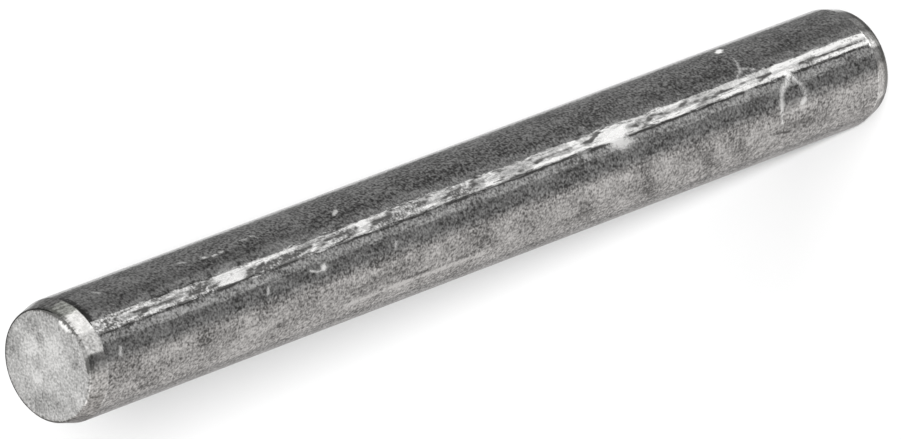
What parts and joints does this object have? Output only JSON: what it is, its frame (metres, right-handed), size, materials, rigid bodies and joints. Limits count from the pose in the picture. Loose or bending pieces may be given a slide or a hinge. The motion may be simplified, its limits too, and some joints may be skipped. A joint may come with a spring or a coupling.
{
  "type": "locking pin",
  "caption": "Plain straight steel locking pin with a lead-in chamfer at each end, pushed through aligned holes to lock two parts together.",
  "frame": {"origin": "centre of the lower end face, on which the pin stands", "axes": "+Z along the pin's axis, from the lower end face to the upper one"},
  "size_m": [0.003, 0.003, 0.028],
  "materials": {
    "pin_steel": "bare ground steel with a drawn grain along the shank, faint oil smudges and small handling marks, and faced ends"
  },
  "bodies": {
    "root": {"pin": "pin_steel"}
  },
  "joints": []
}
